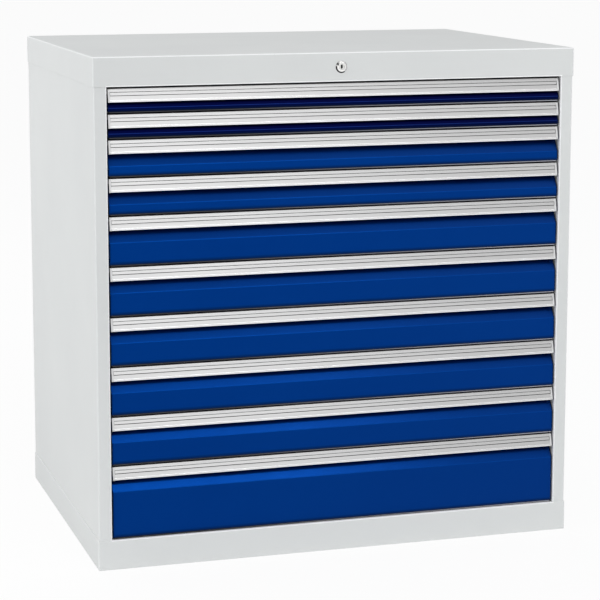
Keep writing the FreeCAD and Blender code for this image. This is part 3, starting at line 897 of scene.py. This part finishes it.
# %% Keyhole
keyhole_half_width = 0.0019
keyhole_half_height = 0.0042
keyhole_raise = 0.0006
keyhole_proud = 0.00012
keyhole_depth = 0.0006
half_circle_steps = 8
grease_size, grease_depth = 0.002, 0.00002
grease_dark, grease_light = (0.003, 0.003, 0.003), (0.010, 0.010, 0.009)

# Painted shade for the keyhole's dark.
keyhole_shade, tree, shader, place = start_finish("keyhole_shade_black", (0.004, 0.004, 0.004), 0.7)
shader.inputs["Specular IOR Level"].default_value = 0.1
grease = noise(tree, place, grease_size)
feed(tree, shader, mixed(tree, to_range(tree, grease, 0, 1), grease_dark, grease_light),
     normal=bump(tree, grease, grease_depth))


def round_slot(name, middle, half_width, half_height, y_front, depth, finish):
    """A thin upright slot with round ends, seen from the front."""
    build = bmesh.new()
    outline = []
    for start, centre in ((0, middle + half_height - half_width),
                          (math.pi, middle - half_height + half_width)):
        for step in range(half_circle_steps + 1):
            angle = math.pi * step / half_circle_steps + start
            outline.append((half_width * math.cos(angle), centre + half_width * math.sin(angle)))
    front, back = ([build.verts.new((x, y, z)) for x, z in outline] for y in (y_front, y_front + depth))
    build.faces.new(front)
    build.faces.new(back[::-1])
    bridge(build, back, front)
    bmesh.ops.recalc_face_normals(build, faces=build.faces)
    return new_piece(name, build, finish)


plug_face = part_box("lock_core")[0].y
keyhole = round_slot("lock_keyhole", lock_centre.z + keyhole_raise, keyhole_half_width,
                     keyhole_half_height, plug_face - keyhole_proud, keyhole_depth, keyhole_shade)
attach(keyhole, "lock_core")

# %% [markdown]
# ## Rivets and screws
#
# Three kinds of small heads hold the sheets together. Screws hold the back panel, which
# sits three millimetres inside the housing's rear edges, so that their heads stay clear
# of a wall. Each front is screwed on from inside its tray, and each tray is riveted to
# its two runners. A head is a low dome with a small socket, spun round the direction that
# it looks in.

# %% Heads
screw_zinc = drawn_metal("screw_zinc", colour=(0.60, 0.61, 0.63), dark=(0.50, 0.51, 0.53),
                         edge=(0.72, 0.73, 0.75), roughness=0.3, depth=0.000006, line=0.0007,
                         stretch=(1, 1, 1))
head_profile = ((1.0, -0.2), (1.0, 0.3), (0.86, 0.7), (0.6, 0.93), (0.3, 1.0), (0.26, 0.55))
head_steps = 20


def heads(name, places, radius, height, finish):
    """Domed heads at places, each a point on an upright face and the direction that it looks in."""
    build = bmesh.new()
    upward = Vector((0, 0, 1))
    for point, toward in places:
        toward = Vector(toward)
        across = toward.cross(upward)
        rows = []
        for share, rise in head_profile:
            outs = [(upward * math.cos(angle) + across * math.sin(angle)) * radius * share
                    for angle in circle(head_steps)]
            rows.append([build.verts.new(Vector(point) + out + toward * height * rise) for out in outs])
        for inner, outer in zip(rows[1:], rows):
            for face in bridge(build, outer, inner):
                face.smooth = True
        build.faces.new(rows[0][::-1])
        build.faces.new(rows[-1])
    bmesh.ops.recalc_face_normals(build, faces=build.faces)
    return new_piece(name, build, finish)


print("a head has", head_steps * len(head_profile), "points")

# %% [markdown]
# ## The back panel's screws
#
# Two columns of six screws hold the back panel, a finger's width from its side edges. The
# first and the last of a column keep well clear of the corners.

# %% Back screws
screw_margin = 0.012
screw_end_margin = 0.075
screws_in_column = 6
screw_radius, screw_height = 0.0050, 0.0024

low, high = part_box("back_panel")
places = []
for k in range(screws_in_column):
    share = k / (screws_in_column - 1)
    z = low.z + screw_end_margin + share * (high.z - low.z - 2 * screw_end_margin)
    places += [((side * (high.x - screw_margin), high.y, z), (0, 1, 0)) for side in (-1, 1)]
back_screws = heads("back_screws", places, screw_radius, screw_height, screw_zinc)
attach(back_screws, "cabinet")
print("screws on the back:", len(places))

# %% [markdown]
# ## The drawers' rivets and screws
#
# In each tray four screws go through the front wall into the blue front, and four rivets
# on each side go into the runner. All sit near the height of the runner's axis, and their
# heads are on the tray's inside, so nothing that slides past touches them.

# %% Drawer rivets
tray_sheet = 0.001
tray_floor_height = 0.004
rail_axis_height = 0.022
tray_half_width = 0.451
tray_front_depth = 0.0235
screw_raise = 0.004
screw_places = (-0.36, -0.12, 0.12, 0.36)
rivet_depths = (0.08, 0.24, 0.40, 0.56)
rivet_radius, rivet_height = 0.0040, 0.0018

wall = tray_half_width - tray_sheet
inside = front_plane + tray_front_depth + tray_sheet
for number in drawer_numbers:
    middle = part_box("drawer_%02d_tray" % number)[0].z - tray_floor_height + rail_axis_height
    places = [((x, inside, middle + screw_raise), (0, 1, 0)) for x in screw_places]
    places += [((side * wall, front_plane + depth, middle), (-side, 0, 0)) for side in (-1, 1)
               for depth in rivet_depths]
    group = heads("drawer_%02d_rivets" % number, places, rivet_radius, rivet_height, screw_zinc)
    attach(group, "drawer_%02d" % number)
print("rivets and screws in each drawer:", len(places))
